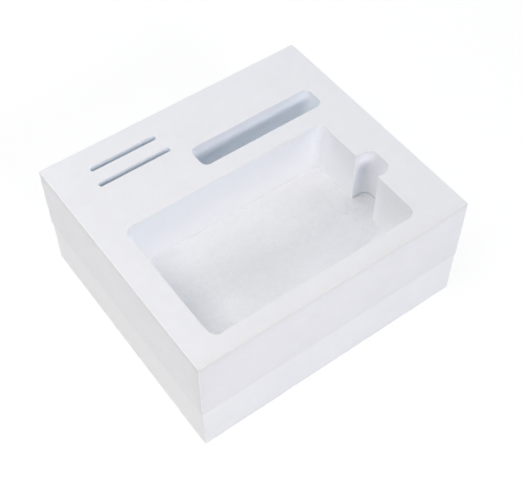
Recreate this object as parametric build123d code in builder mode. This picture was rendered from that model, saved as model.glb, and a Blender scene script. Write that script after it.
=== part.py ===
"""Foam insert for a gift or device box: a routed upper sheet bonded to a plain base sheet.

Millimetres. The origin is the centre of the underside, +Z is up, +X runs along the long side
and -Y is the front. The block grows from what it holds: each wall of foam and each cut-out has
its own size, and the sheets take their length, depth and thickness from the sums.
"""
import os

from build123d import *

# Walls of foam left between the cut-outs and the outer faces
left_wall = 18.2
right_wall = 18.0
front_wall = 12.3
middle_wall = 13.0
back_wall = 17.7
floor_thickness = 10.0

# Main pocket, with a finger notch in the middle of its right wall
pocket_length = 145.8
pocket_width = 91.2
pocket_depth = 40.0
pocket_corner = 5.5
notch_reach = 12.0
notch_width = 20.6
notch_corner = 6.0

# Long slot behind the pocket, which ends in line with the notch
long_slot_length = 92.0
long_slot_width = 17.0
long_slot_depth = 25.0
long_slot_corner = 4.6

# Two narrow card slots behind the pocket, one behind the other
card_slot_width = 3.5
front_card_length = 51.0
rear_card_length = 47.0
card_depth = 25.0
card_left_wall = 24.1
card_offset = 8.2
card_pitch = 13.6

# Base sheet, cut a little short on its left and front sides
base_thickness = 37.0
base_left_inset = 0.8
base_front_inset = 0.5

# Soft arrises of cut foam
edge_radius = 0.5
lip_radius = 0.4

# Sizes of the block, worked out from the walls and the cut-outs
block_length = left_wall + pocket_length + notch_reach + right_wall
block_depth = (
    front_wall + pocket_width + middle_wall + long_slot_width + card_offset + card_pitch + back_wall
)
upper_thickness = pocket_depth + floor_thickness
block_height = base_thickness + upper_thickness

# Places on the top face
left_side = -block_length / 2
right_side = block_length / 2
front_side = -block_depth / 2
pocket_x = left_side + left_wall + pocket_length / 2
pocket_y = front_side + front_wall + pocket_width / 2
pocket_right = pocket_x + pocket_length / 2
notch_length = pocket_length / 2 + notch_reach
notch_x = pocket_x + notch_length / 2
long_slot_x = right_side - right_wall - long_slot_length / 2
long_slot_y = front_side + front_wall + pocket_width + middle_wall + long_slot_width / 2
card_x = left_side + card_left_wall + front_card_length / 2
front_card_y = long_slot_y + long_slot_width / 2 + card_offset
rear_card_y = front_card_y + card_pitch

top_plane = Plane.XY.offset(block_height)
seam_plane = Plane.XY.offset(base_thickness)

# Base sheet: a plain slab, flush with the upper sheet at the right and at the back
with BuildPart() as base_layer:
    with BuildSketch(Plane.XY):
        with Locations((base_left_inset / 2, base_front_inset / 2)):
            Rectangle(block_length - base_left_inset, block_depth - base_front_inset)
    extrude(amount=base_thickness)
    fillet(base_layer.edges(), radius=edge_radius)

# Upper sheet: the slab, then every cut-out routed down from the top face
with BuildPart() as cut_out_layer:
    with BuildSketch(seam_plane):
        Rectangle(block_length, block_depth)
    extrude(amount=upper_thickness)
    fillet(cut_out_layer.edges(), radius=edge_radius)

    # Pocket and notch share one outline and one floor
    with BuildSketch(top_plane) as pocket_outline:
        with Locations((pocket_x, pocket_y)):
            RectangleRounded(pocket_length, pocket_width, pocket_corner)
        with Locations((notch_x, pocket_y)):
            Rectangle(notch_length, notch_width)
        fillet(pocket_outline.vertices().group_by(Axis.X)[-1], radius=notch_corner)
    extrude(amount=-pocket_depth, mode=Mode.SUBTRACT)

    with BuildSketch(top_plane):
        with Locations((long_slot_x, long_slot_y)):
            RectangleRounded(long_slot_length, long_slot_width, long_slot_corner)
    extrude(amount=-long_slot_depth, mode=Mode.SUBTRACT)

    # Card slots are one pass of a narrow cutter, so their ends are round
    with BuildSketch(top_plane):
        with Locations((card_x, front_card_y)):
            SlotOverall(front_card_length, card_slot_width)
        with Locations((card_x, rear_card_y)):
            SlotOverall(rear_card_length, card_slot_width)
    extrude(amount=-card_depth, mode=Mode.SUBTRACT)

    # The lips of the cut-outs are the inner edges of the top face
    top_face = cut_out_layer.faces().sort_by(Axis.Z)[-1]
    lips = ShapeList(edge for wire in top_face.inner_wires() for edge in wire.edges())
    fillet(lips, radius=lip_radius)

base_layer.part.label = "base_layer"
cut_out_layer.part.label = "cut_out_layer"

os.makedirs("parts", exist_ok=True)
export_step(base_layer.part, "parts/base_layer.step")
export_step(cut_out_layer.part, "parts/cut_out_layer.step")
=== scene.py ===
# %% [markdown]
# # A routed foam packing insert
#
# The insert is two sheets of white closed-cell foam. The upper sheet was routed from above: a
# large pocket with a finger notch, a long slot and two narrow card slots. The lower sheet is a
# plain slab, bonded underneath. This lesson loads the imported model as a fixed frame, models both
# sheets by hand over it, and gives them the finish of cut foam.

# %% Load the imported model
import math

import bmesh
import bpy
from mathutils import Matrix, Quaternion, Vector


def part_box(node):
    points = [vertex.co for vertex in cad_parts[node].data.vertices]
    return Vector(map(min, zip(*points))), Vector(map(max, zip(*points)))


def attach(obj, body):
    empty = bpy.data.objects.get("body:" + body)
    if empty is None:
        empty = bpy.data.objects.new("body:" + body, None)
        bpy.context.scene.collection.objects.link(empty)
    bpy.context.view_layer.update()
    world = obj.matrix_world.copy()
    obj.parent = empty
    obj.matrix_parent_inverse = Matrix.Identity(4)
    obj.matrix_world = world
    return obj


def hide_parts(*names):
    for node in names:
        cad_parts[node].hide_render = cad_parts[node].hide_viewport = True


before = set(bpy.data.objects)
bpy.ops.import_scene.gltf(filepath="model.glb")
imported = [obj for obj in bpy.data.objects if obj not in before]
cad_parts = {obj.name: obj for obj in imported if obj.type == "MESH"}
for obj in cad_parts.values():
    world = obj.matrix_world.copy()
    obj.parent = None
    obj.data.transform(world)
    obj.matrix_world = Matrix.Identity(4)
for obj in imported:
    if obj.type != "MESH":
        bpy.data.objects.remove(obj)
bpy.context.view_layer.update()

mm = 0.001
upper_low, upper_high = (Vector(corner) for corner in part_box("cut_out_layer"))
base_low, base_high = (Vector(corner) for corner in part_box("base_layer"))
top_level = upper_high.z
seam_level = upper_low.z
print("upper sheet from", upper_low, "to", upper_high)
print("base sheet from", base_low, "to", base_high)

# %% [markdown]
# ## The camera
#
# The view looks down on the insert's front left corner. An aim point, a distance, two angles and a
# lens say that more plainly than a matrix would, and the camera's own axes follow from the line of
# sight.

# %% Place the camera
aim_point = Vector((-0.76, -11.50, 43.50)) * mm
camera_distance = 645.7 * mm
camera_bearing = math.radians(36.26)
camera_height_angle = math.radians(52.68)
camera_roll = math.radians(-0.06)
camera_lens = 70.74
sensor_width = 36.0
nearest_seen = 10 * mm

sight_line = Vector((
    math.sin(camera_bearing) * math.cos(camera_height_angle),
    math.cos(camera_bearing) * math.cos(camera_height_angle),
    -math.sin(camera_height_angle),
))
bpy.ops.object.camera_add(location=aim_point - sight_line * camera_distance)
camera = bpy.context.object
camera.name = "camera"
level_view = sight_line.to_track_quat("-Z", "Y")
camera.rotation_euler = (Quaternion(sight_line, camera_roll) @ level_view).to_euler()
camera.data.lens = camera_lens
camera.data.sensor_fit = "HORIZONTAL"
camera.data.sensor_width = sensor_width
camera.data.clip_start = nearest_seen
bpy.context.scene.camera = camera
bpy.context.scene.view_settings.view_transform = "Standard"
print("camera at", camera.location)

# %% [markdown]
# ## Light and floor
#
# White foam shows its form only through soft shade, so the light is built from broad soft boxes: a
# small key low in front, which reaches down into the pocket, and large fills to the left, to the right
# and behind. A lamp's strength is given as what it adds to a white card that faces it, so the
# strengths can be compared with each other. The world is a white backdrop that lights nothing. The
# floor is white card, which sends light back up at the sides. To the camera it is mostly a plain white
# glow, with a faint shade near the insert, and further out it is nothing else, so no horizon shows.

# %% Set up the backdrop
white = (1.0, 1.0, 1.0, 1.0)


def seen_directly(tree):
    """A value that is 1 for rays from the camera, from a reflection or through glass, else 0."""
    path = tree.nodes.new("ShaderNodeLightPath")
    seen = path.outputs["Is Camera Ray"]
    for kind in ("Is Glossy Ray", "Is Transmission Ray"):
        either = tree.nodes.new("ShaderNodeMath")
        either.operation = "MAXIMUM"
        tree.links.new(seen, either.inputs[0])
        tree.links.new(path.outputs[kind], either.inputs[1])
        seen = either.outputs["Value"]
    return seen


world = bpy.data.worlds.new("white_backdrop")
world.use_nodes = True
bpy.context.scene.world = world
world_tree = world.node_tree
backdrop = world_tree.nodes["Background"]
backdrop.inputs["Color"].default_value = white
world_tree.links.new(seen_directly(world_tree), backdrop.inputs["Strength"])
print("backdrop is white to the camera")

# %% Hang the lamps
far = 1.5
close = 1.0
small_box = 0.45
middle_box = 0.6
large_box = 0.9


def hang_lamp(name, bearing_deg, height_deg, distance, width, strength, tint):
    """A square soft box that faces the insert. Bearing 0 is the front, and 90 is the left."""
    bearing = math.radians(bearing_deg)
    height = math.radians(height_deg)
    away = Vector((
        -math.sin(bearing) * math.cos(height),
        -math.cos(bearing) * math.cos(height),
        math.sin(height),
    ))
    target = Vector((0, 0, top_level))
    bpy.ops.object.light_add(type="AREA", location=target + away * distance)
    lamp = bpy.context.object
    lamp.name = name
    lamp.rotation_euler = (-away).to_track_quat("-Z", "Y").to_euler()
    lamp.data.size = width
    lamp.data.energy = strength * (math.pi * distance) ** 2
    lamp.data.color = tint
    return lamp


lamps = [
    hang_lamp("key_lamp", 0, 28, far, small_box, 0.515, (1.0, 0.943, 0.933)),
    hang_lamp("left_low_lamp", 90, 12, far, large_box, 0.232, (1.0, 0.9, 0.84)),
    hang_lamp("left_high_lamp", 90, 60, close, middle_box, 0.378, (1.0, 0.977, 0.904)),
    hang_lamp("right_lamp", -90, 50, far, large_box, 0.24, (0.852, 0.95, 1.0)),
    hang_lamp("back_lamp", 180, 50, close, middle_box, 0.366, (0.973, 0.959, 1.0)),
]
print("lamps:", [lamp.name for lamp in lamps])

# %% Lay the floor
floor_width = 4.0

bpy.ops.object.select_all(action="DESELECT")
bpy.ops.mesh.primitive_plane_add(size=floor_width, location=(0, 0, 0))
floor = bpy.context.object
floor.name = "floor"
print("floor laid,", floor_width, "m wide")

# %% Paint the floor
floor_white = (0.95, 0.965, 0.985, 1.0)
glow_strength = 1.05
near_glow, far_glow = 0.8, 1.0
fade_start, fade_end = 0.35, 1.2

floor_paint = bpy.data.materials.new("floor_white")
floor_paint.use_nodes = True
floor_tree = floor_paint.node_tree
floor_tree.nodes.clear()
floor_card = floor_tree.nodes.new("ShaderNodeBsdfDiffuse")
floor_card.inputs["Color"].default_value = floor_white
floor_glow = floor_tree.nodes.new("ShaderNodeEmission")
floor_glow.inputs["Color"].default_value = white
floor_glow.inputs["Strength"].default_value = glow_strength
floor_place = floor_tree.nodes.new("ShaderNodeTexCoord")
floor_away = floor_tree.nodes.new("ShaderNodeVectorMath")
floor_away.operation = "LENGTH"
floor_fade = floor_tree.nodes.new("ShaderNodeMapRange")
floor_fade.inputs["From Min"].default_value = fade_start
floor_fade.inputs["From Max"].default_value = fade_end
floor_fade.inputs["To Min"].default_value = near_glow
floor_fade.inputs["To Max"].default_value = far_glow
floor_share = floor_tree.nodes.new("ShaderNodeMath")
floor_share.operation = "MULTIPLY"
floor_mix = floor_tree.nodes.new("ShaderNodeMixShader")
floor_output = floor_tree.nodes.new("ShaderNodeOutputMaterial")
floor_tree.links.new(floor_place.outputs["Object"], floor_away.inputs[0])
floor_tree.links.new(floor_away.outputs["Value"], floor_fade.inputs["Value"])
floor_tree.links.new(seen_directly(floor_tree), floor_share.inputs[0])
floor_tree.links.new(floor_fade.outputs["Result"], floor_share.inputs[1])
floor_tree.links.new(floor_share.outputs["Value"], floor_mix.inputs["Fac"])
floor_tree.links.new(floor_card.outputs["BSDF"], floor_mix.inputs[1])
floor_tree.links.new(floor_glow.outputs["Emission"], floor_mix.inputs[2])
floor_tree.links.new(floor_mix.outputs["Shader"], floor_output.inputs["Surface"])
floor.data.materials.append(floor_paint)
print("floor fades to white from", fade_start, "to", fade_end, "m away")

# %% [markdown]
# ## Modelling by hand
#
# Both sheets start as a cube primitive. Edges and faces are then picked in code by where they are,
# and shaped with the same operators that a modeller would call from the menus. These helpers only
# pick and repeat: the shaping itself stays in the cells below.

# %% Helpers for picking and cutting
near = 0.01 * mm
facing, aside = 0.9, 0.1


def activate(piece):
    """Makes one piece the only selected and active one."""
    bpy.ops.object.select_all(action="DESELECT")
    piece.select_set(True)
    bpy.context.view_layer.objects.active = piece


def add_block(name, low, high):
    """A cube stretched from one corner to the other, with its place in its mesh."""
    low, high = Vector(low), Vector(high)
    bpy.ops.object.select_all(action="DESELECT")
    bpy.ops.mesh.primitive_cube_add(size=1, location=(low + high) / 2)
    block = bpy.context.object
    block.name = name
    block.data.name = name
    bpy.ops.transform.resize(value=high - low)
    bpy.ops.object.transform_apply(location=True, rotation=True, scale=True)
    return block


def pick_edges(piece, wanted):
    """In edit mode, selects the edges that pass a test."""
    bpy.ops.mesh.select_mode(type="EDGE")
    bpy.ops.mesh.select_all(action="DESELECT")
    mesh = bmesh.from_edit_mesh(piece.data)
    mesh.normal_update()
    for edge in mesh.edges:
        if wanted(edge):
            edge.select_set(True)
    bmesh.update_edit_mesh(piece.data)


def pick_faces(piece, wanted):
    """In edit mode, selects the faces that pass a test."""
    bpy.ops.mesh.select_mode(type="FACE")
    bpy.ops.mesh.select_all(action="DESELECT")
    mesh = bmesh.from_edit_mesh(piece.data)
    mesh.normal_update()
    for face in mesh.faces:
        if wanted(face):
            face.select_set(True)
    bmesh.update_edit_mesh(piece.data)


def is_level(face):
    """True for a face that lies flat."""
    return abs(face.normal.z) > facing


def is_upright(face):
    """True for a face that stands straight up."""
    return abs(face.normal.z) < aside


def upright_at(corners):
    """A test for the upright edges that stand over any of these (x, y) corners."""
    def wanted(edge):
        return any(
            all(math.dist(vert.co.xy, corner) < near for vert in edge.verts) for corner in corners
        )
    return wanted


def rim_at(level):
    """A test for the edges at one height where a flat face meets an upright one."""
    def wanted(edge):
        if any(abs(vert.co.z - level) > near for vert in edge.verts):
            return False
        return any(map(is_level, edge.link_faces)) and any(map(is_upright, edge.link_faces))
    return wanted


def round_off(radius, steps, finish=-1):
    """Rounds the selected edges, and gives the new faces a finish of their own if one is named."""
    bpy.ops.mesh.bevel(
        offset_type="OFFSET", offset=radius, segments=steps, profile=0.5, affect="EDGES",
        clamp_overlap=False, material=finish,
    )


def slice_evenly(axis, low, high, spacing):
    """Slices all that shows in edit mode by evenly spaced planes across one axis."""
    normal = Vector((0, 0, 0))
    normal[axis] = 1
    count = round((high - low) / spacing)
    for step in range(1, count):
        bpy.ops.mesh.select_all(action="SELECT")
        bpy.ops.mesh.bisect(plane_co=normal * (low + (high - low) * step / count), plane_no=normal)


def apply_all(piece):
    """Applies the modifiers of a piece, from the top of its list down."""
    activate(piece)
    for modifier in list(piece.modifiers):
        bpy.ops.object.modifier_apply(modifier=modifier.name)


# %% [markdown]
# ## Names for the finishes
#
# Foam looks different where it was skinned, sawn or routed, and its cut edges are paler than its
# faces, the lips through a painted highlight. The finishes get their names here, so that faces can be
# handed out while the sheets are modelled. Their nodes come later.

# %% Name the finishes
finish_names = ("top_skin", "sawn_side", "routed_wall", "routed_floor", "cut_edge", "cut_lip")
top_skin, sawn_side, routed_wall, routed_floor, cut_edge, cut_lip = range(len(finish_names))
upper_finishes = [bpy.data.materials.new(name) for name in finish_names]
base_finish_names = ("base_skin", "base_side", "base_edge")
base_skin, base_side, base_edge = range(len(base_finish_names))
base_finishes = [bpy.data.materials.new(name) for name in base_finish_names]
print("finishes:", finish_names + base_finish_names)

# %% [markdown]
# ## Two slabs
#
# Each sheet is a slab that was sawn from a bun of foam. Its edges aren't knife sharp: the blade
# crushes and tears the cells there, so they are rounded by about a quarter of a millimetre. Where the
# sheets are bonded the edges are held together, and only a hairline groove is left.

# %% Model the slabs
edge_radius = 0.25 * mm
seam_radius = 0.2 * mm
edge_steps = 3


def model_slab(name, low, high, finishes, side, edge):
    """A slab with soft outer edges and a tight edge along the seam."""
    slab = add_block(name, low, high)
    for material in finishes:
        slab.data.materials.append(material)
    bpy.ops.object.mode_set(mode="EDIT")
    pick_faces(slab, is_upright)
    slab.active_material_index = side
    bpy.ops.object.material_slot_assign()
    pick_edges(slab, lambda edge: any(abs(vert.co.z - seam_level) > near for vert in edge.verts))
    round_off(edge_radius, edge_steps, edge)
    pick_edges(slab, rim_at(seam_level))
    round_off(seam_radius, edge_steps, edge)
    bpy.ops.object.mode_set(mode="OBJECT")
    return slab


base_sheet = model_slab("base_sheet", base_low, base_high, base_finishes, base_side, base_edge)
upper_sheet = model_slab("upper_sheet", upper_low, upper_high, upper_finishes, sawn_side, cut_edge)
print("slabs:", len(base_sheet.data.polygons), "and", len(upper_sheet.data.polygons), "faces")

# %% [markdown]
# ## The cutters
#
# A router removes the shape that its cutter sweeps, so each cut-out is modelled as that swept body
# and then subtracted. The pocket's body is a block with the finger notch pulled out of its right
# side. Its upright edges get the radius that the cutter leaves in a corner. The mouth of the notch
# stays sharp here, because there the cutter went round the outside of a corner.

# %% Sizes of the cut-outs
left_wall = 18.2 * mm
right_wall = 18.0 * mm
front_wall = 12.3 * mm
middle_wall = 13.0 * mm
pocket_length = 145.8 * mm
pocket_width = 91.2 * mm
pocket_depth = 40.0 * mm
pocket_corner = 5.5 * mm
notch_reach = 12.0 * mm
notch_width = 20.6 * mm
notch_corner = 6.0 * mm
slot_length = 92.0 * mm
slot_width = 17.0 * mm
slot_depth = 25.0 * mm
slot_corner = 4.6 * mm
card_width = 3.5 * mm
card_depth = 25.0 * mm
card_lengths = (51.0 * mm, 47.0 * mm)
card_left_wall = 24.1 * mm
card_offset = 8.2 * mm
card_pitch = 13.6 * mm
overrun = 5.0 * mm
corner_steps = 10

floor_level = top_level - pocket_depth
pocket_left = upper_low.x + left_wall
pocket_right = pocket_left + pocket_length
pocket_front = upper_low.y + front_wall
pocket_back = pocket_front + pocket_width
notch_front = (pocket_front + pocket_back - notch_width) / 2
notch_back = notch_front + notch_width
notch_end = pocket_right + notch_reach
notch_mouth = [(pocket_right, notch_front), (pocket_right, notch_back)]
slot_right = upper_high.x - right_wall
slot_left = slot_right - slot_length
slot_front = pocket_back + middle_wall
slot_back = slot_front + slot_width
card_middle = upper_low.x + card_left_wall + card_lengths[0] / 2
print("pocket floor at", floor_level, "and notch from", notch_front, "to", notch_back)

# %% Shape the pocket's cutter
pocket_cutter = add_block(
    "pocket_cutter",
    (pocket_left, pocket_front, floor_level),
    (pocket_right, pocket_back, top_level + overrun),
)
bpy.ops.object.mode_set(mode="EDIT")
for notch_side in (notch_front, notch_back):
    bpy.ops.mesh.select_all(action="SELECT")
    bpy.ops.mesh.bisect(plane_co=(0, notch_side, 0), plane_no=(0, 1, 0))
pick_faces(
    pocket_cutter,
    lambda face: face.normal.x > facing and notch_front < face.calc_center_median().y < notch_back,
)
bpy.ops.mesh.extrude_region_move(TRANSFORM_OT_translate={"value": (notch_reach, 0, 0)})
pocket_corners = [(x, y) for x in (pocket_left, pocket_right) for y in (pocket_front, pocket_back)]
pick_edges(pocket_cutter, upright_at(pocket_corners))
round_off(pocket_corner, corner_steps)
pick_edges(pocket_cutter, upright_at([(notch_end, notch_front), (notch_end, notch_back)]))
round_off(notch_corner, corner_steps)
bpy.ops.object.mode_set(mode="OBJECT")
print("pocket cutter:", len(pocket_cutter.data.polygons), "faces")


# %% Shape the slots' cutters
def slot_cutter(name, left, right, front, back, depth, corner):
    """A block with four round upright corners, which reaches past the top of the sheet."""
    cutter = add_block(name, (left, front, top_level - depth), (right, back, top_level + overrun))
    bpy.ops.object.mode_set(mode="EDIT")
    pick_edges(cutter, upright_at([(x, y) for x in (left, right) for y in (front, back)]))
    round_off(corner, corner_steps)
    bpy.ops.object.mode_set(mode="OBJECT")
    return cutter


card_round_share = 0.46
cutters = [pocket_cutter]
cutters.append(
    slot_cutter("long_slot_cutter", slot_left, slot_right, slot_front, slot_back, slot_depth, slot_corner)
)
for row, length in enumerate(card_lengths):
    middle = slot_back + card_offset + card_pitch * row
    cutters.append(slot_cutter(
        f"card_cutter_{row}", card_middle - length / 2, card_middle + length / 2,
        middle - card_width / 2, middle + card_width / 2, card_depth, card_width * card_round_share,
    ))
print("cutters:", [cutter.name for cutter in cutters])

# %% [markdown]
# ## The routed sheet
#
# The slab is first sliced along the middle of each cut-out, so that no face of its top gets a hole and
# the lips can be rounded cleanly. Then every cut-out is taken away from it with a Boolean modifier.
# The lips are found as the edges where the top face meets an upright wall. A cutter leaves them crisp,
# so their radius is small, and the two upright edges at the mouth of the notch are rounder. All of them
# catch the light as thin pale lines, which a painted highlight in their finish makes paler, and which is
# most of what makes cut foam look like foam.
#
# At the end both sheets are sliced into small faces, so that the next step has points to move. The
# routed floors get the finest ones, for their grain.

# %% Cut the upper sheet
activate(upper_sheet)
bpy.ops.object.mode_set(mode="EDIT")
for cutter in cutters:
    middle = sum((Vector(corner) for corner in cutter.bound_box), Vector()) / len(cutter.bound_box)
    bpy.ops.mesh.select_all(action="SELECT")
    bpy.ops.mesh.bisect(plane_co=middle, plane_no=(0, 1, 0))
bpy.ops.object.mode_set(mode="OBJECT")

for cutter in cutters:
    for material in upper_finishes:
        cutter.data.materials.append(material)
    for face in cutter.data.polygons:
        face.material_index = routed_floor if is_level(face) else routed_wall
    cut = upper_sheet.modifiers.new(cutter.name, "BOOLEAN")
    cut.operation = "DIFFERENCE"
    cut.solver = "EXACT"
    cut.object = cutter
apply_all(upper_sheet)
for cutter in cutters:
    bpy.data.objects.remove(cutter, do_unlink=True)
print("upper sheet after cutting:", len(upper_sheet.data.polygons), "faces")

# %% Round the lips
lip_radius = 0.08 * mm
mouth_radius = 0.4 * mm

bpy.ops.object.mode_set(mode="EDIT")
pick_edges(upper_sheet, upright_at(notch_mouth))
round_off(mouth_radius, edge_steps, cut_lip)
pick_edges(upper_sheet, rim_at(top_level))
round_off(lip_radius, edge_steps, cut_lip)
bpy.ops.object.mode_set(mode="OBJECT")
print("upper sheet with lips:", len(upper_sheet.data.polygons), "faces")

# %% Slice the sheets
upper_spacing = 2.0 * mm
base_spacing = 3.0 * mm
grain_spacing = 0.9 * mm

activate(base_sheet)
bpy.ops.object.mode_set(mode="EDIT")
for axis in range(3):
    slice_evenly(axis, base_low[axis], base_high[axis], base_spacing)
bpy.ops.object.mode_set(mode="OBJECT")

activate(upper_sheet)
bpy.ops.object.mode_set(mode="EDIT")
for axis in range(3):
    slice_evenly(axis, upper_low[axis], upper_high[axis], upper_spacing)
pick_faces(upper_sheet, lambda face: face.material_index != routed_floor)
bpy.ops.mesh.hide(unselected=False)
slice_evenly(0, pocket_left, notch_end, grain_spacing)
slice_evenly(1, pocket_front, slot_back, grain_spacing)
bpy.ops.mesh.reveal(select=False)
bpy.ops.object.mode_set(mode="OBJECT")
print("sliced:", len(base_sheet.data.polygons), "and", len(upper_sheet.data.polygons), "faces")

# %% [markdown]
# ## Give the foam its unevenness
#
# No cut through foam is quite flat. A Displace modifier with a cloud texture sinks the faces by up to
# about a tenth of a millimetre in broad patches, a second one roughens the edges over a few
# millimetres, and a third one tears the routed floor into fine grain. The first two leave the clouds'
# peaks where they are and sink the rest, so nothing leaves the sheet's own box. The grain goes up and
# down about the floor's level. The bonded faces are left flat, so that the sheets still touch.

# %% Wear the faces, the edges and the floor
patch_size, patch_depth = 28.0 * mm, 0.15 * mm
ragged_size, ragged_depth = 5.0 * mm, 0.06 * mm
grain_size, grain_depth = 1.3 * mm, 0.14 * mm
cloud_peak = 0.9
cloud_middle = 0.5
cloud_detail = 2
sharp_angle = math.radians(50)


def gather(piece, name, wanted, rim=True):
    """A vertex group of the faces that pass a test, with or without the rim that other faces share."""
    group = piece.vertex_groups.new(name=name)
    found = {vert for face in piece.data.polygons if wanted(face) for vert in face.vertices}
    if not rim:
        found -= {vert for face in piece.data.polygons if not wanted(face) for vert in face.vertices}
    group.add(list(found), 1.0, "REPLACE")
    return group.name


def dent(piece, name, size, depth, level, group):
    """Moves part of a piece's surface by a cloud pattern, of which one level stays where it is."""
    clouds = bpy.data.textures.new(f"{piece.name}_{name}", "CLOUDS")
    clouds.noise_scale = size
    clouds.noise_depth = cloud_detail
    displace = piece.modifiers.new(name, "DISPLACE")
    displace.texture = clouds
    displace.texture_coords = "LOCAL"
    displace.mid_level = level
    displace.strength = depth
    displace.vertex_group = group


def is_free(face):
    """True for every face but the one that is bonded at the seam."""
    return abs(face.center.z - seam_level) > near


for piece, edge_finishes in ((upper_sheet, (cut_edge, cut_lip)), (base_sheet, (base_edge,))):
    free = gather(piece, "free", is_free)
    edges = gather(piece, "edges", lambda face: face.material_index in edge_finishes)
    dent(piece, "patches", patch_size, patch_depth, cloud_peak, free)
    dent(piece, "ragged_edges", ragged_size, ragged_depth, cloud_peak, edges)
grained = gather(upper_sheet, "floor", lambda face: face.material_index == routed_floor, rim=False)
dent(upper_sheet, "torn_grain", grain_size, grain_depth, cloud_middle, grained)

for piece in (upper_sheet, base_sheet):
    apply_all(piece)
    bpy.ops.object.shade_smooth_by_angle(angle=sharp_angle)
    even = piece.modifiers.new("even_shading", "WEIGHTED_NORMAL")
    even.keep_sharp = True
    apply_all(piece)
    print(piece.name, "worn,", sum(len(face.vertices) - 2 for face in piece.data.polygons), "triangles")

# %% [markdown]
# ## Patterns of cut foam
#
# Each pattern is a node group, built once and used by several finishes. They read Object coordinates,
# so that they run on unbroken from face to face. Tones swing evenly about zero, masks run from 0 to 1,
# and heights are in millimetres.

# %% Helpers for building nodes
def link_or_set(tree, socket, value):
    """Links a socket to another one, or sets it to a plain value."""
    if isinstance(value, bpy.types.NodeSocket):
        tree.links.new(value, socket)
    else:
        socket.default_value = value


def maths(tree, operation, *values, clamp=False):
    """A Math node's result."""
    node = tree.nodes.new("ShaderNodeMath")
    node.operation = operation
    node.use_clamp = clamp
    for socket, value in zip(node.inputs, values):
        link_or_set(tree, socket, value)
    return node.outputs["Value"]


def start_group(name, inputs, outputs):
    """A new node group with float sockets: (tree, its inputs, its outputs)."""
    tree = bpy.data.node_groups.new(name, "ShaderNodeTree")
    for socket_name, value in inputs.items():
        socket = tree.interface.new_socket(socket_name, in_out="INPUT", socket_type="NodeSocketFloat")
        socket.default_value = value
    for socket_name in outputs:
        tree.interface.new_socket(socket_name, in_out="OUTPUT", socket_type="NodeSocketFloat")
    start = tree.nodes.new("NodeGroupInput")
    end = tree.nodes.new("NodeGroupOutput")
    return tree, start.outputs, end.inputs


def object_place(tree, stretch=(1.0, 1.0, 1.0), offset=(0.0, 0.0, 0.0)):
    """Object coordinates, stretched and moved."""
    place = tree.nodes.new("ShaderNodeTexCoord")
    mapping = tree.nodes.new("ShaderNodeMapping")
    mapping.inputs["Scale"].default_value = stretch
    mapping.inputs["Location"].default_value = offset
    tree.links.new(place.outputs["Object"], mapping.inputs["Vector"])
    return mapping.outputs["Vector"]


def noise(tree, place, size, detail):
    """A noise pattern of about this size, as a value from 0 to 1."""
    node = tree.nodes.new("ShaderNodeTexNoise")
    tree.links.new(place, node.inputs["Vector"])
    link_or_set(tree, node.inputs["Scale"], maths(tree, "DIVIDE", 1.0, size))
    node.inputs["Detail"].default_value = detail
    return node.outputs["Fac"]


def voronoi(tree, place, size):
    """The outputs of a Voronoi pattern with cells of about this size."""
    node = tree.nodes.new("ShaderNodeTexVoronoi")
    tree.links.new(place, node.inputs["Vector"])
    link_or_set(tree, node.inputs["Scale"], maths(tree, "DIVIDE", 1.0, size))
    return node.outputs


def swing(tree, value):
    """A value from 0 to 1 turned into a tone from -1 to 1."""
    return maths(tree, "MULTIPLY_ADD", value, 2.0, -1.0)


# %% [markdown]
# ### Blotches, smudges and cells
#
# Foam is never one even white. Blotches are its broad change of tone, and they carry a second noise
# for warmth, because aged skin is a little yellow in places. Smudges are the peaks of such a noise,
# where hands have touched it. Cells are the fine pebbling of the closed bubbles.

# %% Build the blotches, smudges and cells
rich, plain = 3.0, 2.0
warmth_offset = (0.3, 0.7, 0.1)
smudge_offset = (0.9, 0.2, 0.5)
bare_line, cover_drop, smudge_slope = 0.8, 0.5, 7.0
cell_clump = 2.0

blotches, given, result = start_group("blotches", {"Size": 20 * mm}, ("Tone", "Warmth"))
blotch_value = noise(blotches, object_place(blotches), given["Size"], rich)
blotches.links.new(swing(blotches, blotch_value), result["Tone"])
warmth_value = noise(blotches, object_place(blotches, offset=warmth_offset), given["Size"], plain)
blotches.links.new(warmth_value, result["Warmth"])

smudges, given, result = start_group("smudges", {"Size": 14 * mm, "Cover": 0.4}, ("Mask",))
smudge_value = noise(smudges, object_place(smudges, offset=smudge_offset), given["Size"], rich)
smudge_drop = maths(smudges, "MULTIPLY", given["Cover"], cover_drop)
smudge_line = maths(smudges, "SUBTRACT", bare_line, smudge_drop)
smudge_peak = maths(smudges, "SUBTRACT", smudge_value, smudge_line)
smudges.links.new(maths(smudges, "MULTIPLY", smudge_peak, smudge_slope, clamp=True), result["Mask"])

cells, given, result = start_group("closed_cells", {"Size": 0.8 * mm}, ("Tone", "Height"))
cell_place = object_place(cells)
cells.links.new(voronoi(cells, cell_place, given["Size"])["Distance"], result["Height"])
cell_value = noise(cells, cell_place, maths(cells, "MULTIPLY", given["Size"], cell_clump), plain)
cells.links.new(swing(cells, cell_value), result["Tone"])
print("groups:", [group.name for group in bpy.data.node_groups])

# %% [markdown]
# ### Streaks, specks and bands
#
# A router leaves upright streaks on the walls it passes: a noise that is stretched along Z. It also
# tears out crumbs, which leave dark specks on the floor. They are the middles of Voronoi cells, and a
# share of the cells is drawn by the cell's own random colour. A band fades out with the distance from
# one level along an axis, for soiled edges, the seam, single walls and the bottom of the notch.

# %% Build the streaks, specks and bands
upright_stretch = (1.0, 1.0, 0.03)
speck_edge = 1.4

streaks, given, result = start_group("router_streaks", {"Spacing": 1.6 * mm}, ("Tone", "Height"))
streak_value = noise(streaks, object_place(streaks, upright_stretch), given["Spacing"], plain)
streaks.links.new(swing(streaks, streak_value), result["Tone"])
streaks.links.new(streak_value, result["Height"])

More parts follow.
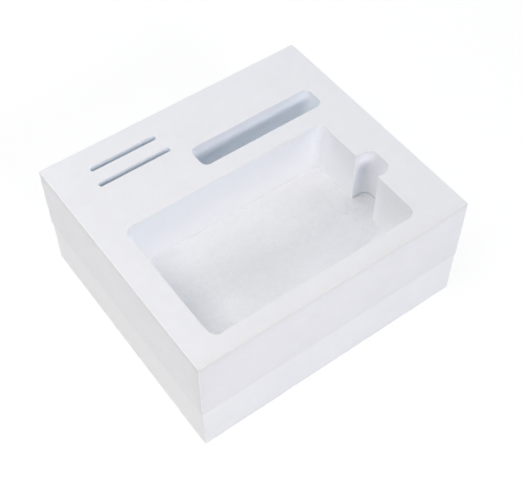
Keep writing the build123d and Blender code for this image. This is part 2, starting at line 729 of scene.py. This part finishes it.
specks, given, result = start_group(
    "specks", {"Spacing": 7 * mm, "Radius": 0.4 * mm, "Share": 0.3}, ("Mask",)
)
speck_cells = voronoi(specks, object_place(specks), given["Spacing"])
speck_reach = maths(specks, "MULTIPLY", speck_cells["Distance"], given["Spacing"])
speck_inside = maths(specks, "DIVIDE", speck_reach, given["Radius"])
speck_soft = maths(specks, "SUBTRACT", speck_edge, speck_inside, clamp=True)
speck_draw = specks.nodes.new("ShaderNodeSeparateColor")
specks.links.new(speck_cells["Color"], speck_draw.inputs["Color"])
speck_kept = maths(specks, "LESS_THAN", speck_draw.outputs["Red"], given["Share"])
specks.links.new(maths(specks, "MULTIPLY", speck_soft, speck_kept), result["Mask"])

bands, given, result = start_group("band", {"Along": 0.0, "Level": 0.0, "Reach": 6 * mm}, ("Mask",))
band_away = maths(bands, "ABSOLUTE", maths(bands, "SUBTRACT", given["Along"], given["Level"]))
band_fade = maths(bands, "SUBTRACT", 1.0, maths(bands, "DIVIDE", band_away, given["Reach"]), clamp=True)
bands.links.new(maths(bands, "MULTIPLY", band_fade, band_fade), result["Mask"])
print("groups:", [group.name for group in bpy.data.node_groups])


# %% [markdown]
# ## The finishes
#
# Every finish is the same white foam in another state, so one small class stacks the patterns: some
# change the tone, some lay a tint over it, and some raise the surface. Each finish then says which
# patterns it shows, and how much of each.

# %% A foam finish, built up pattern by pattern
sheen = 0.3
wear_size = 9 * mm
wear_swing = 0.08


class FoamFinish:
    """A foam material that patterns are added to."""

    def __init__(self, material, colour):
        material.use_nodes = True
        self.tree = material.node_tree
        self.shader = self.tree.nodes["Principled BSDF"]
        split = self.tree.nodes.new("ShaderNodeSeparateXYZ")
        self.tree.links.new(object_place(self.tree), split.inputs["Vector"])
        self.place = split.outputs
        self.colour = colour
        self.tone = 1.0
        self.height = 0.0
        self.tints = []

    def pattern(self, group, **inputs):
        """The outputs of a pattern group that is placed with these inputs."""
        node = self.tree.nodes.new("ShaderNodeGroup")
        node.node_tree = group
        for name, value in inputs.items():
            link_or_set(self.tree, node.inputs[name], value)
        return node.outputs

    def band(self, axis, level, reach):
        """A mask that is full at a level along an axis, and fades out within a reach."""
        return self.pattern(bands, Along=self.place[axis], Level=level, Reach=reach)["Mask"]

    def both(self, one, other):
        """Two masks multiplied."""
        return maths(self.tree, "MULTIPLY", one, other)

    def spot(self, x, y, reach_x, reach_y):
        """A mask that is full over one place in plan, and fades out along X and Y."""
        return self.both(self.band("X", x, reach_x), self.band("Y", y, reach_y))

    def shade(self, pattern, amount):
        """Brightens by a share of the pattern, or darkens if the amount is negative."""
        self.tone = maths(self.tree, "MULTIPLY_ADD", pattern, amount, self.tone)

    def tint(self, mask, amount, colour):
        """Multiplies by a colour where a mask is full."""
        self.tints.append((maths(self.tree, "MULTIPLY", mask, amount), colour))

    def lift(self, pattern, depth):
        """Raises the surface by a pattern, in millimetres."""
        self.height = maths(self.tree, "MULTIPLY_ADD", pattern, depth, self.height)

    def wire(self, roughness):
        """Joins all that was added to the shader."""
        toned = self.tree.nodes.new("ShaderNodeVectorMath")
        toned.operation = "SCALE"
        toned.inputs["Vector"].default_value = self.colour
        link_or_set(self.tree, toned.inputs["Scale"], self.tone)
        colour = toned.outputs["Vector"]
        for factor, tint in self.tints:
            mix = self.tree.nodes.new("ShaderNodeMix")
            mix.data_type = "RGBA"
            mix.blend_type = "MULTIPLY"
            self.tree.links.new(factor, mix.inputs["Factor"])
            self.tree.links.new(colour, mix.inputs["A"])
            mix.inputs["B"].default_value = (*tint, 1.0)
            colour = mix.outputs["Result"]
        self.tree.links.new(colour, self.shader.inputs["Base Color"])
        worn = self.pattern(blotches, Size=wear_size)["Tone"]
        dulled = maths(self.tree, "MULTIPLY_ADD", worn, wear_swing, roughness)
        self.tree.links.new(dulled, self.shader.inputs["Roughness"])
        bump = self.tree.nodes.new("ShaderNodeBump")
        bump.inputs["Distance"].default_value = mm
        link_or_set(self.tree, bump.inputs["Height"], self.height)
        self.tree.links.new(bump.outputs["Normal"], self.shader.inputs["Normal"])
        self.shader.inputs["Specular IOR Level"].default_value = sheen


# %% [markdown]
# ### The whites
#
# Each finish starts from a white of its own. A tint is multiplied over it, so a tint of 1 changes
# nothing, and one over 1 makes the foam paler.

# %% Mix the whites and the tints
foam = Vector((0.86, 0.885, 0.93))
skin_white = Vector((0.830, 0.844, 0.888))
sawn_white = Vector((0.829, 0.857, 0.911))
base_white = Vector((0.875, 0.905, 0.954))
floor_foam = Vector((0.885, 0.889, 0.920))
# A painted highlight for the lips:
lip_painted_highlight = Vector((0.945, 0.955, 0.985))

aged_yellow = (1.0, 0.985, 0.95)
hand_grey = (0.975, 0.965, 0.95)
# Painted light on the left face, and painted shade on the front left upright edge:
left_painted_light_tint = (1.0, 1.0, 0.99)
corner_edge_painted_shade = (0.87, 0.865, 0.855)

# Painted light and shade in the cut-outs:
painted_blue_light = (0.987, 1.0, 1.012)
far_wall_painted_light = (1.06, 1.075, 1.075)
far_left_painted_light = (1.02, 1.025, 1.005)
far_foot_painted_warm_light = (1.0, 0.99, 0.965)
right_foot_painted_light = (1.08, 1.075, 1.05)
near_wall_painted_warm_light = (1.0, 0.99, 0.957)
slot_painted_blue_shade = (0.985, 1.005, 1.02)
slot_end_painted_light = (1.12, 1.12, 1.11)
card_slot_painted_light = (1.05, 1.055, 1.055)
notch_painted_light = (1.11, 1.11, 1.085)
crevice_painted_shade = (0.45, 0.50, 0.58)

# Painted light on the floor, and the grey of its crumbs:
floor_painted_warm_light = (1.005, 0.972, 0.925)
floor_painted_blue_light = (0.97, 0.983, 0.995)
crumb_grey = (0.55, 0.55, 0.58)
print("foam white:", list(foam))

# %% [markdown]
# ### Skin and sawn sides
#
# The top is the smooth skin of the sheet, with a few open pits and a yellowed strip along its front
# edge, and painted light makes it paler towards the left. The sides were sawn: they are cloudier, have
# been handled more, and are soiled beside the front left corner. They are darker just under the top edge,
# and have painted shade along the seam and by the front left upright edge. Painted light makes the left
# side a shade paler.

# %% Finish the top skin
top = FoamFinish(upper_finishes[top_skin], skin_white)
top.shade(top.pattern(blotches, Size=24 * mm)["Tone"], 0.022)
top.shade(top.pattern(blotches, Size=7 * mm)["Tone"], 0.020)
top.shade(top.pattern(cells)["Tone"], 0.010)
top.tint(top.pattern(specks, Spacing=14 * mm, Radius=0.45 * mm, Share=0.3)["Mask"], 0.15, crumb_grey)
# Darker towards the front edge, and painted light makes the top paler towards its left end.
top.shade(top.band("Y", upper_low.y, 30 * mm), -0.014)
top.shade(top.band("X", upper_low.x, 60 * mm), 0.022)
front_strip = top.band("Y", upper_low.y, 8 * mm)
top.tint(front_strip, 0.45, aged_yellow)
top.tint(top.both(front_strip, top.pattern(smudges, Size=6 * mm, Cover=0.6)["Mask"]), 0.8, hand_grey)
top.tint(top.spot(upper_low.x, upper_low.y, 16 * mm, 16 * mm), 0.9, hand_grey)
top.tint(top.pattern(smudges, Size=16 * mm, Cover=0.2)["Mask"], 0.35, hand_grey)
top.lift(top.pattern(cells)["Height"], 0.03)
top.wire(0.78)
print("top skin wired")


# %% Finish the sawn sides
yellow_per_soil = 10
edge_shade_per_soil = 4


def finish_side(material, colour, under_edge_dark, corner_soil, left_painted_light):
    """A sheet's sawn sides: darker under the top edge, soiled at the corner, with painted shade at the
    seam and by the corner's upright edge, and painted light on the left.
    """
    side = FoamFinish(material, colour)
    side.shade(side.pattern(blotches, Size=26 * mm)["Tone"], 0.028)
    side.shade(side.pattern(blotches, Size=8 * mm)["Tone"], 0.022)
    side.shade(side.pattern(cells)["Tone"], 0.016)
    # Darker just under the top edge.
    side.shade(side.band("Z", top_level, 8 * mm), -under_edge_dark)
    side.tint(side.band("Z", top_level, 5 * mm), 0.6, aged_yellow)
    # Painted shade along the seam, under the upper sheet's overhang.
    side.shade(side.band("Z", seam_level, 5 * mm), -0.022)
    # Painted light on the left face.
    left_face = maths(side.tree, "LESS_THAN", side.place["X"], upper_low.x + 1 * mm)
    side.shade(left_face, left_painted_light)
    side.tint(left_face, 1.0, left_painted_light_tint)
    corner = side.spot(upper_low.x, upper_low.y, 14 * mm, 14 * mm)
    side.shade(corner, -corner_soil)
    side.tint(corner, yellow_per_soil * corner_soil, aged_yellow)
    # Painted shade along the front left upright edge, which tones down its highlight.
    painted_edge_shade = side.spot(upper_low.x, upper_low.y, 2 * mm, 0.8 * mm)
    side.shade(painted_edge_shade, -edge_shade_per_soil * corner_soil)
    side.tint(side.pattern(smudges, Size=12 * mm, Cover=0.35)["Mask"], 0.5, hand_grey)
    side.lift(side.pattern(cells)["Height"], 0.04)
    side.wire(0.82)


finish_side(upper_finishes[sawn_side], sawn_white, 0.09, 0.03, 0.075)
finish_side(base_finishes[base_side], base_white, 0.0, 0.0, 0.06)
print("sawn sides wired")

# %% [markdown]
# ### Routed walls and floor
#
# Inside the cut-outs the foam is fresh, and the walls show the cutter's upright streaks. Much of the
# light and shade in the cut-outs is painted into the colour: painted bluish light towards the top of the
# walls, painted light on the pocket's far wall near its top, on its right wall and on the far side of the
# notch near their feet, painted bluish shade in the slots, and a painted shade line round the bottom of
# the notch. The floor is the roughest place of all: torn cells, dark crumbs, a few pits, and one line
# where two passes of the cutter met. It has painted light towards the back and painted shade towards the
# front, and at its left end a painted shade band, a painted pool of light and a painted shadow by the
# lip.

# %% Start the routed walls
streak_spacing = 0.9 * mm
fine_cell = 0.45 * mm
one_wall = 3 * mm

wall = FoamFinish(upper_finishes[routed_wall], foam)
wall.shade(wall.pattern(blotches, Size=18 * mm)["Tone"], 0.014)
wall.shade(wall.pattern(streaks, Spacing=streak_spacing)["Tone"], 0.016)
wall.shade(wall.pattern(cells, Size=fine_cell)["Tone"], 0.055)
# Painted bluish light towards the top of the walls.
upper_part = wall.band("Z", top_level, pocket_depth)
wall.tint(upper_part, 1.0, painted_blue_light)
print("routed walls streaked")

# %% Tone the pocket's walls
far_middle_offset = 83 * mm

wall_foot = wall.band("Z", floor_level, 4 * mm)
far_wall = wall.band("Y", pocket_back, one_wall)
# Painted light and shade on the far wall: paler near its top and towards its left end, warmer and paler
# at its foot, darker towards its right end.
wall.tint(wall.both(far_wall, upper_part), 1.0, far_wall_painted_light)
wall.tint(wall.both(far_wall, wall.band("Z", floor_level, 30 * mm)), 1.0, far_foot_painted_warm_light)
far_left_end = wall.both(far_wall, wall.band("X", pocket_left, 90 * mm))
wall.tint(wall.both(far_left_end, upper_part), 1.0, far_left_painted_light)
wall.shade(wall.both(far_wall, wall.band("X", pocket_right, 120 * mm)), -0.045)
far_foot = wall.both(far_wall, wall_foot)
wall.shade(far_foot, 0.025)
wall.shade(wall.both(far_foot, wall.band("X", pocket_left + far_middle_offset, 75 * mm)), 0.05)
# Painted light on the right wall: paler at its foot, at its far end and by the notch's mouth, and warmer
# towards the front.
right_side = wall.band("X", pocket_right, one_wall)
wall.tint(wall.both(right_side, wall.band("Z", floor_level, 45 * mm)), 1.0, right_foot_painted_light)
wall.shade(wall.both(right_side, wall.band("Y", pocket_back, 35 * mm)), 0.06)
right_far_half = wall.both(right_side, wall.band("Y", pocket_back, 60 * mm))
wall.shade(wall.both(right_far_half, wall_foot), 0.02)
wall.shade(wall.both(right_side, wall.band("Y", notch_front, 9 * mm)), 0.06)
wall.tint(wall.both(right_side, wall.band("Y", pocket_front, 60 * mm)), 1.0, near_wall_painted_warm_light)
print("pocket walls toned")

# %% Tone the slots and the notch
# Painted bluish shade in the slots, and painted light deep at the long slot's right end and in the card
# slots.
behind_pocket = maths(wall.tree, "GREATER_THAN", wall.place["Y"], pocket_back + middle_wall / 2)
wall.tint(behind_pocket, 1.0, slot_painted_blue_shade)
slot_right_end = wall.both(behind_pocket, wall.band("X", slot_right, 50 * mm))
slot_foot = wall.band("Z", top_level - slot_depth, 40 * mm)
wall.tint(wall.both(slot_right_end, slot_foot), 1.0, slot_end_painted_light)
beside_slot = maths(wall.tree, "LESS_THAN", wall.place["X"], slot_left - card_offset)
wall.tint(wall.both(behind_pocket, beside_slot), 1.0, card_slot_painted_light)
# A painted shade line round the bottom of the notch, painted light on its far side, and painted shade at
# the far corner of its inner end.
past_mouth = maths(wall.tree, "GREATER_THAN", wall.place["X"], pocket_right + mouth_radius)
in_front_of_slot = maths(wall.tree, "LESS_THAN", wall.place["Y"], pocket_back)
in_notch = wall.both(past_mouth, in_front_of_slot)
wall.tint(wall.both(in_notch, wall.band("Z", floor_level, 1.6 * mm)), 1.0, crevice_painted_shade)
notch_far_side = wall.both(in_notch, wall.band("Y", notch_back, one_wall))
wall.tint(wall.both(notch_far_side, wall.band("Z", floor_level, 50 * mm)), 1.0, notch_painted_light)
notch_inner_end = wall.both(in_notch, wall.band("X", notch_end, one_wall))
wall.shade(wall.both(notch_inner_end, wall.band("Y", notch_back, 14 * mm)), -0.09)
wall.lift(wall.pattern(cells)["Height"], 0.04)
wall.lift(wall.pattern(streaks, Spacing=streak_spacing)["Height"], 0.03)
wall.wire(0.82)
print("routed walls wired")

# %% Tone the routed floor
floor_shade_band_y = upper_low.y + 75 * mm
floor_light_pool_x, floor_light_pool_y = upper_low.x + 50 * mm, upper_low.y + 45 * mm
lip_shadow_x, lip_shadow_y = upper_low.x + 28 * mm, upper_low.y + 58 * mm

ground = FoamFinish(upper_finishes[routed_floor], floor_foam)
ground.shade(ground.pattern(blotches, Size=14 * mm)["Tone"], 0.020)
ground.shade(ground.pattern(blotches, Size=3.5 * mm)["Tone"], 0.030)
ground.shade(ground.pattern(cells, Size=fine_cell)["Tone"], 0.072)
# Painted light towards the back of the floor and painted shade towards the front, a painted shade band
# across the left part, a painted pool of light, a painted shadow by the left lip, warmer painted light at
# the front left and bluer painted light at the right end.
ground.shade(ground.band("Y", pocket_back, 40 * mm), 0.06)
ground.shade(ground.band("Y", pocket_front, 60 * mm), -0.05)
ground.shade(ground.spot(pocket_left, floor_shade_band_y, 110 * mm, 18 * mm), -0.05)
ground.shade(ground.spot(floor_light_pool_x, floor_light_pool_y, 24 * mm, 40 * mm), 0.085)
ground.shade(ground.spot(lip_shadow_x, lip_shadow_y, 14 * mm, 40 * mm), -0.08)
ground.tint(ground.spot(pocket_left, pocket_front, 150 * mm, 100 * mm), 1.0, floor_painted_warm_light)
ground.tint(ground.band("X", pocket_right, 80 * mm), 1.0, floor_painted_blue_light)
# Painted shade on the slots' hidden floors, which deepens the shade in the slots.
slot_floor = maths(ground.tree, "GREATER_THAN", ground.place["Y"], pocket_back + middle_wall / 2)
ground.shade(slot_floor, -0.05)
print("routed floor toned")

# %% Tear the routed floor
pass_line = upper_low.y + 68 * mm
crumb_reach = 45 * mm
pit_reach = 1.6 * mm
floor_pits = [
    Vector((10.6, 2.7)) * mm, Vector((5.8, -51.5)) * mm, Vector((13.5, -51.6)) * mm,
    Vector((46.5, -52.0)) * mm, Vector((-53.5, -51.0)) * mm, Vector((45.4, -13.2)) * mm,
]

ground.tint(ground.pattern(specks, Spacing=4 * mm, Radius=0.3 * mm, Share=0.35)["Mask"], 0.25, crumb_grey)
ground.tint(ground.pattern(specks, Spacing=11 * mm, Radius=0.5 * mm, Share=0.4)["Mask"], 0.35, crumb_grey)
crumbs = ground.pattern(specks, Spacing=2.4 * mm, Radius=0.4 * mm, Share=0.45)["Mask"]
ground.tint(ground.both(crumbs, ground.band("X", pocket_left, crumb_reach)), 0.6, crumb_grey)
ground.tint(ground.both(crumbs, ground.band("X", pocket_right, crumb_reach)), 0.3, crumb_grey)
for pit in floor_pits:
    ground.tint(ground.spot(pit.x, pit.y, pit_reach, pit_reach), 0.14, crumb_grey)
broken = ground.pattern(smudges, Size=1.4 * mm, Cover=0.6)["Mask"]
ground.tint(ground.both(ground.band("Y", pass_line, 0.9 * mm), broken), 0.16, crumb_grey)
ground.lift(ground.pattern(cells)["Height"], 0.14)
ground.wire(0.9)
print("routed floor wired")

# %% [markdown]
# ### Edges and the hidden skin
#
# The lips carry a painted highlight, so they are the palest foam of all, and edges yellow first. The
# upright edge at the front left corner gets painted shade, which tones down its highlight. The base sheet
# is the same foam, a shade lighter than the upper one.

# %% Finish the edges and the base
def finish_edge(material, colour):
    """The rounded edges of one of the sheets."""
    edge = FoamFinish(material, colour)
    edge.shade(edge.pattern(blotches, Size=10 * mm)["Tone"], 0.012)
    edge.shade(edge.pattern(cells)["Tone"], 0.015)
    edge.tint(edge.pattern(blotches, Size=12 * mm)["Warmth"], 0.8, aged_yellow)
    # Painted shade on the front left upright edge, which tones down its highlight.
    edge.tint(edge.spot(upper_low.x, upper_low.y, 4 * mm, 4 * mm), 1.0, corner_edge_painted_shade)
    edge.lift(edge.pattern(cells)["Height"], 0.04)
    edge.wire(0.85)


finish_edge(upper_finishes[cut_edge], foam)
# The lips get a painted highlight.
finish_edge(upper_finishes[cut_lip], lip_painted_highlight)
finish_edge(base_finishes[base_edge], foam)
under = FoamFinish(base_finishes[base_skin], foam)
under.shade(under.pattern(blotches, Size=24 * mm)["Tone"], 0.022)
under.shade(under.pattern(cells)["Tone"], 0.010)
under.lift(under.pattern(cells)["Height"], 0.03)
under.wire(0.78)
print("edges and base wired")

# %% [markdown]
# ## Hand the pieces to the frame
#
# Each modelled sheet stands for its imported solid. Both ride on the one body of a part that has no
# joints.

for piece, node, slot in (
    (upper_sheet, "cut_out_layer", "upper_foam"),
    (base_sheet, "base_layer", "base_foam"),
):
    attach(piece, "root")
    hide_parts(node)
    print(piece.name, "stands for", node)
